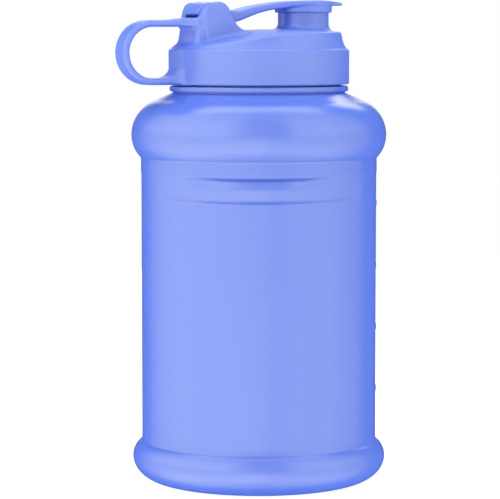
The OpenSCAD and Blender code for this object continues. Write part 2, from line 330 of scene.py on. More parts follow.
# ---------------------------------------------------------------- materials
def new_material(name):
    """A material with its nodes, its links and its main shader."""
    material = bpy.data.materials.new(name)
    material.use_nodes = True
    nodes = material.node_tree.nodes
    return material, nodes, material.node_tree.links, nodes["Principled BSDF"]


def noise(nodes, links, scale, detail, stretch=(1, 1, 1)):
    """A noise in the object's own coordinates, with about scale features a metre."""
    coords = nodes.new("ShaderNodeTexCoord")
    mapping = nodes.new("ShaderNodeMapping")
    mapping.inputs["Scale"].default_value = stretch
    texture = nodes.new("ShaderNodeTexNoise")
    texture.inputs["Scale"].default_value = scale
    texture.inputs["Detail"].default_value = detail
    links.new(coords.outputs["Object"], mapping.inputs["Vector"])
    links.new(mapping.outputs["Vector"], texture.inputs["Vector"])
    return texture.outputs["Fac"]


def ramp(nodes, links, fac, low, high):
    """Colours from low to high over the middle part of fac's range."""
    colours = nodes.new("ShaderNodeValToRGB")
    for element, position, colour in zip(colours.color_ramp.elements, (0.3, 0.7), (low, high)):
        element.position = position
        element.color = (*colour, 1)
    links.new(fac, colours.inputs["Fac"])
    return colours.outputs["Color"]


def spread(nodes, links, fac, low, high):
    """fac from 0..1 mapped to low..high."""
    mapped = nodes.new("ShaderNodeMapRange")
    mapped.inputs["To Min"].default_value = low
    mapped.inputs["To Max"].default_value = high
    links.new(fac, mapped.inputs["Value"])
    return mapped.outputs["Result"]


def bump(nodes, links, layers, shader):
    """Bump from several (height, distance in metres, strength) layers."""
    normal = None
    for height, distance, strength in layers:
        node = nodes.new("ShaderNodeBump")
        node.inputs["Distance"].default_value = distance
        node.inputs["Strength"].default_value = strength
        links.new(height, node.inputs["Height"])
        if normal is not None:
            links.new(normal, node.inputs["Normal"])
        normal = node.outputs["Normal"]
    links.new(normal, shader.inputs["Normal"])


def plastic(name, low, high, rough, grain, wave):
    """Moulded plastic: faint colour drift, a fine moulded grain and long shallow waves in the wall."""
    material, nodes, links, shader = new_material(name)
    drift = noise(nodes, links, 14, 2.0, stretch=(1, 1, 0.6))
    links.new(ramp(nodes, links, drift, low, high), shader.inputs["Base Color"])
    fine = noise(nodes, links, 2600, 2.0)
    rough_spread = 0.05
    mottled = spread(nodes, links, fine, rough - rough_spread, rough + rough_spread)
    links.new(mottled, shader.inputs["Roughness"])
    broad = noise(nodes, links, 26, 1.0, stretch=(1, 1, 0.12))
    bump(nodes, links, [(broad, wave * MM, 0.6), (fine, grain * MM, 0.35)], shader)
    shader.inputs["IOR"].default_value = 1.6
    shader.inputs["Specular IOR Level"].default_value = 0.9
    shader.inputs["Subsurface Weight"].default_value = 0.2
    shader.inputs["Subsurface Radius"].default_value = (0.15, 0.3, 1.0)
    shader.inputs["Subsurface Scale"].default_value = 0.006
    return material


def silicone_material():
    """Milky, slightly mottled silicone."""
    material, nodes, links, shader = new_material("silicone")
    drift = noise(nodes, links, 60, 3.0)
    links.new(ramp(nodes, links, drift, (0.72, 0.77, 0.86), (0.82, 0.85, 0.92)), shader.inputs["Base Color"])
    fine = noise(nodes, links, 1800, 2.0)
    links.new(spread(nodes, links, fine, 0.48, 0.62), shader.inputs["Roughness"])
    bump(nodes, links, [(fine, 0.02 * MM, 0.4)], shader)
    shader.inputs["Subsurface Weight"].default_value = 0.35
    shader.inputs["Subsurface Radius"].default_value = (0.003, 0.003, 0.003)
    shader.inputs["Subsurface Scale"].default_value = 0.5
    return material


def steel_material():
    """Steel drawn along the pin."""
    material, nodes, links, shader = new_material("pin_steel")
    drawn = noise(nodes, links, 900, 3.0, stretch=(1, 0.04, 1))
    links.new(ramp(nodes, links, drawn, (0.50, 0.51, 0.53), (0.66, 0.67, 0.69)), shader.inputs["Base Color"])
    links.new(spread(nodes, links, drawn, 0.22, 0.36), shader.inputs["Roughness"])
    bump(nodes, links, [(drawn, 0.01 * MM, 0.4)], shader)
    shader.inputs["Metallic"].default_value = 1.0
    return material


# The jug is glossier than the lid and the cap, and its blown wall is wavier
JUG_PLASTIC = plastic("jug_plastic", (0.100, 0.188, 0.735), (0.106, 0.196, 0.750), 0.24, 0.012, 0.16)
LID_PLASTIC = plastic("lid_plastic", (0.116, 0.206, 0.735), (0.124, 0.216, 0.755), 0.40, 0.03, 0.02)
CAP_PLASTIC = plastic("cap_plastic", (0.114, 0.204, 0.735), (0.122, 0.214, 0.755), 0.42, 0.03, 0.02)
SILICONE = silicone_material()
STEEL = steel_material()

# ---------------------------------------------------------------- jug body
BULGE_Z = 177.9
BULGE_LOW_R = 16.6
BULGE_TOP_R = 18.7
BULGE_TOP_END = 67
FOOT_R = 64.7
FOOT_Z = 13.1
FOOT_RUN = 17.0
FOOT_TOP_R = 10.0
RING_R = 42.0
PUNT_H = 5.0
BAND_PROUD = 0.2
# The grip hollow: a ledge, a scoop and a crisp notch under it, and a step that ends at a lower line
LEDGE_Z = 158.6
LEDGE_BELOW = 0.9
LEDGE_ABOVE = 0.8
HOLLOW_DEPTH = 1.6
HOLLOW_TALL = 6.5
HOLLOW_HALF = math.radians(36)
NOTCH_DEPTH = 0.75
NOTCH_TALL = 2.0
LINE_Z = 147.5
LINE_DEPTH = 0.9
LINE_HALF = math.radians(60)
LINE_RISE = 1.3
LIP_DEPTH = 0.65
LIP_TALL = 5.5
# The raised scale marks and the parting line
SCALE_Z = 47.9
SCALE_STEP = 31.8
SCALE_COUNT = 4
SCALE_HALF = math.radians(6)
SCALE_PROUD = 0.3
SCALE_TOP_R = 0.9
SCALE_EDGE_R = 1.6
SEAM_PROUD = 0.05
SEAM_HALF = 0.009
# The neck, its bead and its thread
ROOT_R = 44.0
NECK_R = 42.0
MOUTH_R = 39.8
BEAD_R = 45.5
BEAD_Z = 202.8
PITCH = 6.0
THREAD_Z = 206.6
THREAD_TURNS = 1.25
THREAD_DEPTH = 1.6


def smoothstep(low, high, x):
    """0 below low and 1 above high, with a smooth rise between them."""
    t = np.clip((x - low) / (high - low), 0, 1)
    return t * t * (3 - 2 * t)


def thread_height(height, angle, start_angle=0.0):
    """Share of a thread's full depth at a height and azimuth, from 0 to 1."""
    share = np.zeros(np.broadcast(height, angle).shape)
    base = np.mod(angle - start_angle, 2 * math.pi)
    for turn in range(2):
        along = base / (2 * math.pi) + turn
        offset = np.abs(height - (THREAD_Z + PITCH * along))
        flank = 1 - smoothstep(0.6, 1.6, offset)
        ends = smoothstep(0, 0.1, along) * (1 - smoothstep(THREAD_TURNS - 0.1, THREAD_TURNS, along))
        share = np.maximum(share, flank * ends)
    return share


def hollow_depth(height, away):
    """Depth of a grip hollow, by height and by angle away from its middle."""
    bowl = np.clip(1 - (away / HOLLOW_HALF) ** 2, 0, 1) ** 0.7
    under = LEDGE_Z - height
    scoop = np.clip(1 - under / HOLLOW_TALL, 0, 1) ** 1.6 * smoothstep(-0.2, 0.3, under)
    notch = np.clip(1 - under / NOTCH_TALL, 0, 1) * smoothstep(-0.1, 0.15, under)
    # A shallow step deepens evenly from the ledge down to the lower line, which rises to the sides
    line_z = LINE_Z - 0.3 + LINE_RISE * (away / LINE_HALF) ** 2
    step = LINE_DEPTH * (1 - smoothstep(0.7, 1.05, away / LINE_HALF))
    taper = step * np.clip(under / (LEDGE_Z - line_z), 0, 1) ** 1.2
    lip = LIP_DEPTH * bowl * np.clip((line_z + LIP_TALL - height) / LIP_TALL, 0, 1) ** 1.3
    lower = (taper + lip) * smoothstep(line_z - 1.5, line_z, height)
    return HOLLOW_DEPTH * bowl * scoop + NOTCH_DEPTH * bowl**0.6 * notch + lower


def scale_relief(height, turn):
    """Height of the raised scale marks, which are round-ended bars."""
    along = np.maximum(np.abs(turn) * BODY_R - SCALE_HALF * BODY_R + 1.2, 0)
    relief = 0
    for i in range(SCALE_COUNT):
        out = np.sqrt(along**2 + (height - SCALE_Z - i * SCALE_STEP) ** 2)
        relief = relief + SCALE_PROUD * (1 - smoothstep(SCALE_TOP_R, SCALE_EDGE_R, out))
    return relief


def body_relief(radius, height, angle):
    """How far the wall stands out from, or lies in from, its turned profile."""
    turn = np.mod(angle - BODY_TURN + math.pi, 2 * math.pi) - math.pi
    relief = np.zeros_like(radius)
    plain = (height > 25) & (height < LEDGE_Z + 0.4)
    wall = (np.abs(radius - BODY_R + WALL / 2) < WALL / 2 + 0.6) & plain
    for facing in (-math.pi / 2, math.pi / 2):
        away = np.abs(np.mod(turn - facing + math.pi, 2 * math.pi) - math.pi)
        relief -= wall * hollow_depth(height, away)
    relief += wall * (radius > BODY_R - 0.5) * scale_relief(height, turn)
    # The blow mould's parting line, on both sides of the body
    outer = radius > MOUTH_R + 0.5
    seam = np.abs(np.mod(turn + math.pi / 2, math.pi) - math.pi / 2)
    body = outer & (height > 14) & (height < BEAD_Z - 4)
    relief += body * SEAM_PROUD * (1 - smoothstep(0.0, SEAM_HALF, np.minimum(seam, math.pi - seam)))
    neck = outer & (np.abs(radius - NECK_R) < 0.05)
    return relief + neck * THREAD_DEPTH * thread_height(height, angle)


def ellipse_foot(inset):
    """The foot's lower quarter ellipse, from the base out to its widest point."""
    n = 20
    angles = [math.pi / 2 * i / n for i in range(n + 1)]
    across, tall = FOOT_RUN - inset, FOOT_Z - inset
    return [(FOOT_R - FOOT_RUN + across * math.sin(a), FOOT_Z - tall * math.cos(a)) for a in angles]


def wall_levels():
    """Heights on the plain wall that the scale marks and the grip hollow need points at."""
    marks = {round(SCALE_Z + i * SCALE_STEP + 0.3 * j, 2) for i in range(SCALE_COUNT) for j in range(-8, 9)}
    low, step = LINE_Z - 6, 0.4
    hollow = {round(low + step * j, 2) for j in range(int((LEDGE_Z + 0.4 - low) / step))}
    return sorted(marks | hollow)


def body_side(inset, wall_r, band_r):
    """One side of the wall from the base up to the end of the shoulder's arc."""
    foot_x, low_x, top_x = FOOT_R - FOOT_TOP_R, BULGE_R - BULGE_LOW_R, BULGE_R - BULGE_TOP_R
    foot_end = math.degrees(math.acos((wall_r - foot_x) / (FOOT_TOP_R - inset)))
    low_end = math.degrees(math.acos((band_r - low_x) / (BULGE_LOW_R - inset)))
    side = ellipse_foot(inset) + arc(foot_x, FOOT_Z, FOOT_TOP_R - inset, 5, foot_end, 14)
    foot_top = side[-1]
    fillet = [(foot_top[0] + 0.16, foot_top[1] - 0.2), (wall_r + 0.04, foot_top[1] + 0.45)]
    side = side[:-1] + fillet
    z = fillet[-1][1]
    for level in [*wall_levels(), LEDGE_Z]:
        while level - z > 4.5:
            z += 4
            side.append((wall_r, z))
        if level > z + 0.05 and level < LEDGE_Z - 1:
            side.append((wall_r, level))
            z = level
    for dz in np.linspace(-LEDGE_BELOW, LEDGE_ABOVE, 10):
        side.append((wall_r + (band_r - wall_r) * smoothstep(-LEDGE_BELOW, LEDGE_ABOVE, dz), LEDGE_Z + dz))
    bulge = arc(low_x, BULGE_Z, BULGE_LOW_R - inset, -low_end, -5, 14)
    bulge_x, bulge_z = bulge[0]
    side += [(band_r, z) for z in np.linspace(LEDGE_Z + 1.2, bulge_z - 0.9, 6)]
    side += [(band_r + 0.03, bulge_z - 0.3), (bulge_x + 0.14, bulge_z + 0.3)] + bulge[1:]
    return side + arc(top_x, BULGE_Z, BULGE_TOP_R - inset, 0, BULGE_TOP_END, 22)


def cone_z(radius, inset):
    """Height of the straight slope between the shoulder's arc and the neck, at a radius."""
    q, a = BULGE_TOP_R - inset, math.radians(BULGE_TOP_END)
    return BULGE_Z + q * math.sin(a) + (BULGE_R - BULGE_TOP_R + q * math.cos(a) - radius) / math.tan(a)


def neck_profile():
    """From the root of the neck up over the bead, the threaded wall and the rim, and down inside."""
    lip_r = 0.6
    root = arc(ROOT_R + 0.9, cone_z(ROOT_R, 0) + 0.7, 1.0, 215, 150, 4)
    bead = [(BEAD_R - 0.35, BEAD_Z - 2.75), (BEAD_R, BEAD_Z - 2.3)]
    bead += arc(BEAD_R - lip_r, BEAD_Z - lip_r, lip_r, 0, 90, 5)
    wall = [(NECK_R + 0.3, BEAD_Z), (NECK_R, BEAD_Z + 0.3)]
    wall += [(NECK_R, z) for z in np.arange(BEAD_Z + 0.6, RIM_Z - 0.8, 0.3)]
    rim = arc(NECK_R - lip_r, RIM_Z - lip_r, lip_r, 0, 90, 5)
    rim += arc(MOUTH_R + lip_r, RIM_Z - lip_r, lip_r, 90, 180, 5)
    low = cone_z(MOUTH_R, WALL)
    inner = [(MOUTH_R, low + 6), (MOUTH_R, low + 0.8), (MOUTH_R + 0.6, low - 0.5)]
    return root + bead + wall + rim + inner


def body_profile():
    """The jug's closed profile, from the middle of its base round outside and back inside."""
    punt_r = (RING_R**2 + PUNT_H**2) / (2 * PUNT_H)
    punt_end = 90 - math.degrees(math.asin(RING_R / punt_r))
    punt = arc(0, PUNT_H - punt_r, punt_r, 90, punt_end, 14)
    outside = body_side(0, BODY_R, BODY_R + BAND_PROUD)
    inside = body_side(WALL, BODY_R - WALL, BODY_R - WALL + 0.01)
    inner_punt = arc(0, PUNT_H - punt_r + WALL, punt_r, punt_end, 90, 10)
    return punt + outside + neck_profile() + inside[::-1] + inner_punt


def jug_body():
    """The blown jug, with finer steps round the ends of the scale marks and at the parting line."""
    coarse = even_azimuths(288)
    mark_ends = np.concatenate([np.arange(-7.2, -3.9, 0.3), np.arange(3.9, 7.3, 0.3)])
    fine = BODY_TURN + np.radians(mark_ends)
    across = (-SEAM_HALF, -0.004, 0, 0.004, SEAM_HALF)
    seams = [BODY_TURN + side + d for side in (0.5 * math.pi, 1.5 * math.pi) for d in across]
    azimuths = np.mod(np.concatenate([coarse, fine, seams]), 2 * math.pi)
    vertices, faces = revolve(body_profile(), np.unique(np.round(azimuths, 4)), body_relief)
    make_piece("jug_shell", vertices, outward(faces), JUG_PLASTIC, "jug", "jug_body")


# ---------------------------------------------------------------- lid
def dome_r_at(z):
    """Radius of the dome's cone, which leans in upwards."""
    return DOME_R - DOME_LEAN * (z - DOME_Z)


def deck_top(x, y):
    """Height of the crowned deck: a ramp at the back, an arc, and an almost level part in front."""
    blend_r = 116.0
    blend_x = 4.0
    slope = math.radians(9.6)
    level = math.radians(0.8)
    level_z = DECK_Z - 0.4
    cx = blend_x + blend_r * math.sin(level)
    cz = level_z - blend_r * math.cos(level)
    ramp_x = cx - blend_r * math.sin(slope)
    ramp_z = cz + blend_r * math.cos(slope)
    middle = cz + np.sqrt(np.maximum(blend_r**2 - (x - cx) ** 2, 1.0))
    line = np.where(x < ramp_x, ramp_z - (ramp_x - x) * math.tan(slope), middle)
    line = np.where(x > blend_x, level_z + (x - blend_x) * math.tan(level), line)
    return line + DECK_CROWN * (1 - (x * x + y * y) / DOME_R**2)


SKIRT_OUTLINE = Outline(
    [(0, SKIRT_Z)]
    + arc(SKIRT_R - 0.8, SKIRT_Z + 0.8, 0.8, -90, 0, 6)
    + arc(SKIRT_R - 1.3, SHOULDER_Z - 1.3, 1.3, 0, 90, 8)
    + [(44.9, SHOULDER_Z), (44.6, SHOULDER_Z + 0.3), (43.6, 223.4), (43.1, 224.6), (DOME_R, DOME_Z)]
    + [(dome_r_at(z), z) for z in (228, 250, 262)]
    + [(0, 262)]
)

# The hinge ears: the slot between them starts at SLOT_X, and the wall beside it ends at CHEEK_X
SLOT_X = -38.9
SLOT_Z = 222
CHEEK_X = -27.0
CHEEK_HALF = EAR_OUT - 2.3
EAR_FRONT = 24
EAR_BACK_X = -38.4
EAR_FOOT_R = 9.0
EAR_FOOT_X = PIN_X + 8.6
EAR_FOOT_Z = 236.0
EAR_OUTLINE = Outline(
    [
        (-24, 205), (-24, 221), (-28.6, 222.6), (-32.2, 223.6), (-34.7, 225.2), (-36.1, 228), (-36.4, 231),
        (EAR_BACK_X + 1.9, 234.5), (EAR_BACK_X + 0.8, 238), (EAR_BACK_X + 1.4, 240.6),
        (EAR_BACK_X + 2.8, 243.1), (EAR_BACK_X + 5.2, PIN_Z + EAR_R - 0.5),
    ]
    + arc(PIN_X, PIN_Z, EAR_R, 108, EAR_FRONT, 20)
    + arc(
        EAR_FOOT_X + EAR_FOOT_R * math.cos(math.radians(EAR_FRONT)),
        EAR_FOOT_Z + EAR_FOOT_R * math.sin(math.radians(EAR_FRONT)),
        EAR_FOOT_R, 180 + EAR_FRONT, 262, 10,
    )
    + [(-11.5, 229.6), (-9.0, 205)]
)

LOOP_TOP = LOOP_Z + LOOP_R
LOOP_LOW = LOOP_Z - LOOP_R
# The loop's ends, inside the tower and the skirt, and the half width that it widens to there
LOOP_UPPER_END = -30.0
LOOP_LOWER_END = -43.0
LOOP_LOWER_ROOT = -42.6
LOOP_ROOT_HALF = EAR_OUT - 2.8
LOOP_OUTER = Outline(
    [(-28, LOOP_TOP + 1.1), (-38.8, LOOP_TOP + 1.1), (-43, LOOP_TOP + 1.0)]
    + [(-47, LOOP_TOP + 0.5), (-52, LOOP_TOP)]
    + arc(LOOP_X, LOOP_Z, LOOP_R, 90, 270, 48)
    + [(-34, LOOP_LOW)]
)
LOOP_INNER = Outline(
    arc(LOOP_X, LOOP_Z, LOOP_R - LOOP_T, 90, 270, 48)
    + arc(-55, LOOP_LOW + LOOP_T + 9, 9, -90, 0, 12)
    + [(-45.4, LOOP_LOW + LOOP_T + 12), (-42.5, LOOP_LOW + LOOP_T + 15)]
    + [(-30, LOOP_LOW + LOOP_T + 15), (-30, LOOP_TOP - LOOP_T)]
)


def slab(y, half):
    """A slab about the plane of symmetry."""
    return np.abs(y) - half


def round_spout(x, y):
    """Distance from the spout's axis."""
    return np.sqrt((x - SPOUT_X) ** 2 + y * y)


def round_pin(x, z):
    """Distance from the hinge pin's axis."""
    return np.sqrt((x - PIN_X) ** 2 + (z - PIN_Z) ** 2)


def carry_loop(x, y, z):
    """The carry loop, which widens into the hinge tower and into the skirt."""
    widening = 8
    band = blend_max(LOOP_OUTER(x, z), -LOOP_INNER(x, z), 1.2)
    root = np.where(z > LOOP_Z, SLOT_X, LOOP_LOWER_ROOT)
    t = np.clip((x - (root - widening)) / widening, 0, 1)
    half = LOOP_W / 2 + (LOOP_ROOT_HALF - LOOP_W / 2) * t * t
    band = blend_max(band, slab(y, half) * 0.8, 1.8)
    return np.maximum(band, x - np.where(z > LOOP_Z, LOOP_UPPER_END, LOOP_LOWER_END))


def hinge_tower(x, y, z, turned):
    """The ears, proud of the wall round the slot, with the loop, all within the dome's cone."""
    wall_side = np.maximum(np.maximum(z - LOOP_TOP, x - CHEEK_X), 215 - z)
    back_wall = blend_max(blend_max(wall_side, slab(y, CHEEK_HALF), 2.0), turned, 5.0)
    ears = blend_min(blend_max(EAR_OUTLINE(x, z), slab(y, EAR_OUT), 2.2), back_wall, 1.0)
    slot = np.maximum(np.maximum(slab(y, EAR_IN), SLOT_X - x), SLOT_Z - z)
    ears = blend_max(ears, -slot, 1.0)
    tower = blend_max(ears, turned, 3.0)
    upper = smoothstep(LOOP_Z - 3, LOOP_Z + 6, z)
    tower = blend_min(tower, np.maximum(carry_loop(x, y, z), -slot), 1.2 + upper)
    return tower, 1.4 + upper


def lid_outside(x, y, z):
    """The lid as if it were solid."""
    turned = SKIRT_OUTLINE(np.sqrt(x * x + y * y), z)
    deck = (z - deck_top(x, y)) * 0.985
    dome = blend_max(turned, deck, 1.5)
    tower, fillet = hinge_tower(x, y, z, turned)
    solid = blend_min(dome, tower, fillet)
    # The spout, flared into the deck
    spout = blend_max(round_spout(x, y) - SPOUT_R, z - SPOUT_Z, 0.8)
    spout = np.maximum(spout, 226 - z)
    solid = blend_min(solid, spout, 3.8)
    return np.maximum(solid, z - (PIN_Z + EAR_R))


def lid_field(x, y, z):
    """The whole lid: hollow, threaded inside its skirt, and bored for the spout and the pin."""
    solid = lid_outside(x, y, z)
    r = np.sqrt(x * x + y * y)
    bore = np.maximum(r - SKIRT_BORE_R, z - SEAT_Z)
    bore = blend_max(bore, z - SEAT_Z, 0.4)
    hollow = np.maximum(np.maximum(r - HOLLOW_R, SEAT_Z - 1 - z), z - deck_top(x, y) + LID_WALL)
    channel = np.maximum(round_spout(x, y) - SPOUT_BORE_R, SEAT_Z - 1 - z)
    solid = blend_max(solid, -bore, 0.5)
    solid = blend_max(solid, -hollow, 0.8)
    solid = blend_max(solid, -channel, 0.8)
    share = thread_height(z, np.arctan2(y, x), math.pi)
    ridge = np.maximum(SKIRT_BORE_R - LID_THREAD_DEPTH * share - r, r - SKIRT_BORE_R - 0.6)
    ridge = np.where(share > 0.01, ridge * 0.7, 1.0)
    solid = np.minimum(solid, ridge)
    pin = np.maximum(round_pin(x, z) - PIN_R, PIN_BORE_END - y)
    return np.maximum(solid, -pin)


def screw_lid():
    """The lid moulding, with its ears, spout and carry loop."""
    vertices, quads, normals = surface_net(lid_field, LID_LO - LID_MARGIN, LID_HI + LID_MARGIN, LID_STEP)
    quads = quads.tolist()
    make_piece("lid_shell", vertices, quads, LID_PLASTIC, "lid", "screw_lid", normals)


# ---------------------------------------------------------------- flip cap
CUP_R = 14.6
CUP_Z = CAP_LO[2] + 6.9
CUP_BORE_R = SPOUT_R + 0.3
CUP_ROOF_Z = SPOUT_Z + 1.1
CUP_TOP_Z = 244.6
PIN_CLEARANCE = 0.06
KNUCKLE_R = 6.0
KNUCKLE_HALF = EAR_IN - 0.3
TAB_X = CAP_HI[0]
STUD_R = 2.0

# The arm's side: its upper line from the hinge to the tab, and its lower line back
CAP_SIDE = Outline(
    [(PIN_X, PIN_Z + 2), (PIN_X + 5, PIN_Z + 2.2), (-14.7, 240.7), (-10.8, 241.6), (-5.1, 243)]
    + [(1.7, 244.2), (9.1, 245.25), (14.8, 245.75), (23.3, 246.1), (29.1, 246.15), (37.7, 245.75)]
    + [(42.6, 245.3), (TAB_X, 244.7), (TAB_X, 243.4), (38, 243.5), (30, 243.9), (21, 243.8)]
    + [(9.7, 241.9), (2.5, 241), (-3.2, 239.6), (-6.5, 238.5), (-9.9, 237.2), (-12.7, 236.1)]
    + [(-16.1, 235.1), (PIN_X + 8, 234.2), (PIN_X + 2, 234.4)]
)
# Half of the arm's plan, before and after the round part over the spout
CAP_PLAN_HALF = [(PIN_X - 2, KNUCKLE_HALF), (PIN_X + 8, KNUCKLE_HALF)]
CAP_PLAN_HALF += [(-12, 8.3), (0, 8.5), (8, 8.9), (12.5, 10.2)]
TAB_PLAN_HALF = [(38.4, 8.6), (41, 7.7), (43, 7.3), (44.6, 6.3), (TAB_X, 4.2)]
CAP_PLAN = Outline(
    CAP_PLAN_HALF
    + arc(SPOUT_X, 0, CUP_R + 0.6, 122, 40, 14)
    + TAB_PLAN_HALF
    + [(x, -y) for x, y in TAB_PLAN_HALF[::-1]]
    + arc(SPOUT_X, 0, CUP_R + 0.6, -40, -122, 14)
    + [(x, -y) for x, y in CAP_PLAN_HALF[::-1]]
)
# The knuckle, with the stop that reaches back over the slot
STOP_SIDE = Outline(
    arc(PIN_X, PIN_Z, KNUCKLE_R, -95, 92, 24)
    + [(PIN_X - 3, PIN_Z + KNUCKLE_R - 0.35), (PIN_X - 5.6, PIN_Z + 5.1), (PIN_X - 7.6, PIN_Z + 3.6)]
    + [(PIN_X - 9, PIN_Z + 1.8), (PIN_X - 9.7, PIN_Z + 0.1), (PIN_X - 8.4, PIN_Z - 0.9)]
    + [(PIN_X - 5, PIN_Z - 1.6)]
)


def cap_field(x, y, z):
    """The cap: the arm, the cup with the stud in its roof, and the knuckle with its bore."""
    plate = blend_max(CAP_SIDE(x, z), CAP_PLAN(x, y), 1.3)
    s = round_spout(x, y)
    cup = blend_max(s - CUP_R, CUP_Z - z, 0.7)
    cup = np.maximum(cup, z - CUP_TOP_Z)
    solid = blend_min(plate, cup, 1.0)
    knuckle = blend_max(STOP_SIDE(x, z), slab(y, KNUCKLE_HALF), 1.2)
    solid = blend_min(solid, knuckle, 1.6)
    cavity = np.maximum(np.maximum(s - CUP_BORE_R, STUD_R - s), z - CUP_ROOF_Z)
    solid = blend_max(solid, -cavity, 0.4)
    pin = round_pin(x, z) - PIN_R - PIN_CLEARANCE
    return np.maximum(solid, -pin)


def flip_cap():
    """The hinged cap."""
    vertices, quads, normals = surface_net(cap_field, CAP_LO - CAP_MARGIN, CAP_HI + CAP_MARGIN, CAP_STEP)
    quads = quads.tolist()
    make_piece("cap_shell", vertices, quads, CAP_PLASTIC, "cap", "flip_cap", normals)


# ---------------------------------------------------------------- turned small parts
def lid_gasket():
    """A flat ring with rounded edges, on the neck's rim."""
    inner, outer = MOUTH_R - 0.6, GASKET_HI[0]
    low, top = GASKET_LO[2], GASKET_HI[2]
    edge = 0.5
    profile = (
        arc(outer - edge, low + edge, edge, -90, 0, 5)
        + arc(outer - edge, top - edge, edge, 0, 90, 5)
        + arc(inner + edge, top - edge, edge, 90, 180, 5)
        + arc(inner + edge, low + edge, edge, 180, 270, 5)
    )
    vertices, faces = revolve(profile, even_azimuths(144))
    make_piece("gasket_ring", vertices, outward(faces), SILICONE, "gasket", "lid_gasket")


def spout_seal():
    """A disc over the spout's rim, with a plug that enters its bore, on the cap's stud."""
    plug = SPOUT_BORE_R - 0.45
    low, top, face = SPOUT_Z - 2.2, SEAL_HI[2], SPOUT_Z + 0.15
    edge = 0.3
    profile = (
        [(STUD_R, top), (STUD_R, low), (plug - 1.8, low)]
        + arc(plug - 0.6, low + 0.1, 0.6, -120, 0, 6)
        + [(plug, face - 0.2), (plug + 0.2, face)]
        + arc(SPOUT_R - edge, face + edge, edge, -90, 0, 4)
        + arc(SPOUT_R - edge, top - edge, edge, 0, 90, 4)
    )
    vertices, faces = revolve(profile, even_azimuths(96), centre=(SPOUT_X, 0))
    make_piece("seal_disc", vertices, outward(faces), SILICONE, "cap", "spout_seal")


def hinge_pin():
    """The pin, turned about its own axis and then laid along y."""
    edge = 0.25
    near, far = PIN_LO[1], PIN_HI[1]
    profile = [(0.0, near), (PIN_R - edge, near), (PIN_R, near + edge)]
    profile += [(PIN_R, far - edge), (PIN_R - edge, far), (0.0, far)]
    vertices, faces = revolve(profile, even_azimuths(48))
    turned = np.stack([PIN_X + vertices[:, 0], vertices[:, 2], PIN_Z - vertices[:, 1]], 1)
    make_piece("pin", turned, outward(faces), STEEL, "lid", "hinge_pin")


jug_body()
screw_lid()
flip_cap()
lid_gasket()
spout_seal()
hinge_pin()


# ---------------------------------------------------------------- floor, light and camera
def floor():
    """A white floor that glows a little and stays out of the highlights, so that it casts no dark shadow."""
    size = 1.1
    corners = [(-size, -size, 0), (size, -size, 0), (size, size, 0), (-size, size, 0)]
    mesh = bpy.data.meshes.new("floor")
    mesh.from_pydata(corners, [], [(0, 1, 2, 3)])
    material, nodes, links, shader = new_material("floor_white")
    paper = noise(nodes, links, 40, 3.0)
    links.new(ramp(nodes, links, paper, (0.44, 0.44, 0.44), (0.48, 0.48, 0.48)), shader.inputs["Base Color"])
    shader.inputs["Emission Color"].default_value = (1, 1, 1, 1)
    shader.inputs["Emission Strength"].default_value = 0.85
    shader.inputs["Roughness"].default_value = 0.85
    shader.inputs["Specular IOR Level"].default_value = 0.1
    mesh.materials.append(material)
    plane = bpy.data.objects.new("floor", mesh)
    bpy.context.scene.collection.objects.link(plane)
    plane.visible_glossy = False


CAMERA_AZIMUTH = math.radians(-25)
CAMERA_DISTANCE = 1.313
CAMERA_HEIGHT = 0.231
CAMERA_LEFT = 0.0045
CAMERA_PITCH = math.radians(4.88)
FOCAL_PIXELS = 2570
IMAGE_WIDTH = 500

LIGHT_HEIGHT = 2.2
LIGHT_FORWARD = 0.01
LIGHT_SIZE = 3.0
LIGHT_POWER = 40
JUG_MIDDLE = Vector((0, 0, 0.13))

# Levels of the soft boxes by angle to the right of the camera, and by the sine of their height
BOX_AZIMUTHS = [
    (-180, 0.03), (-138, 0.08), (-124, 0.36), (-106, 0.72), (-80, 0.97), (-4, 0.98), (20, 0.74), (36, 0.82),
    (52, 0.74), (72, 0.77), (88, 0.58), (108, 0.40), (126, 0.08), (180, 0.03),
]
BOX_HEIGHTS = [
    (-1, 0.3), (-0.87, 0.6), (-0.7, 0.86), (-0.4, 0.78), (-0.2, 0.66), (0.05, 0.62), (0.2, 0.8), (0.7, 0.7),
    (0.9, 0.42), (1, 0.4),
]
# The darker gap between the two boxes
GAP_AZIMUTHS = [(-180, 0.0), (-34, 0.0), (-8, 1.0), (20, 1.0), (42, 0.0), (180, 0.0)]
GAP_HEIGHTS = [(-1, 0.0), (-0.1, 0.0), (0.06, 0.6), (0.22, 1.0), (0.8, 1.0), (0.95, 0.6), (1, 0.4)]
GAP_DEPTH = 0.62
# Three weaker lights: high behind the jug, low behind it, and overhead
BACK_AZIMUTHS = [
    (-180, 0.2), (-176, 0.2), (-172, 0.6), (-166, 0.6), (-162, 0.0), (142, 0.0), (154, 0.9), (172, 1.0),
    (180, 0.3),
]
BACK_HEIGHTS = [(-1, 0.0), (0.40, 0.0), (0.48, 1.0), (0.62, 1.0), (0.70, 0.0), (1, 0.0)]
LOW_AZIMUTHS = [(-180, 0.5), (-172, 0.5), (-166, 0.0), (166, 0.0), (172, 0.5), (180, 0.5)]
LOW_HEIGHTS = [(-1, 0.0), (-0.02, 0.0), (0.06, 1.0), (0.34, 1.0), (0.44, 0.0), (1, 0.0)]
TOP_AZIMUTHS = [(-180, 0.6), (-115, 0.6), (-80, 0.0), (80, 0.0), (115, 0.6), (180, 0.6)]
TOP_HEIGHTS = [(-1, 0.0), (0.78, 0.0), (0.9, 1.0), (1, 1.0)]
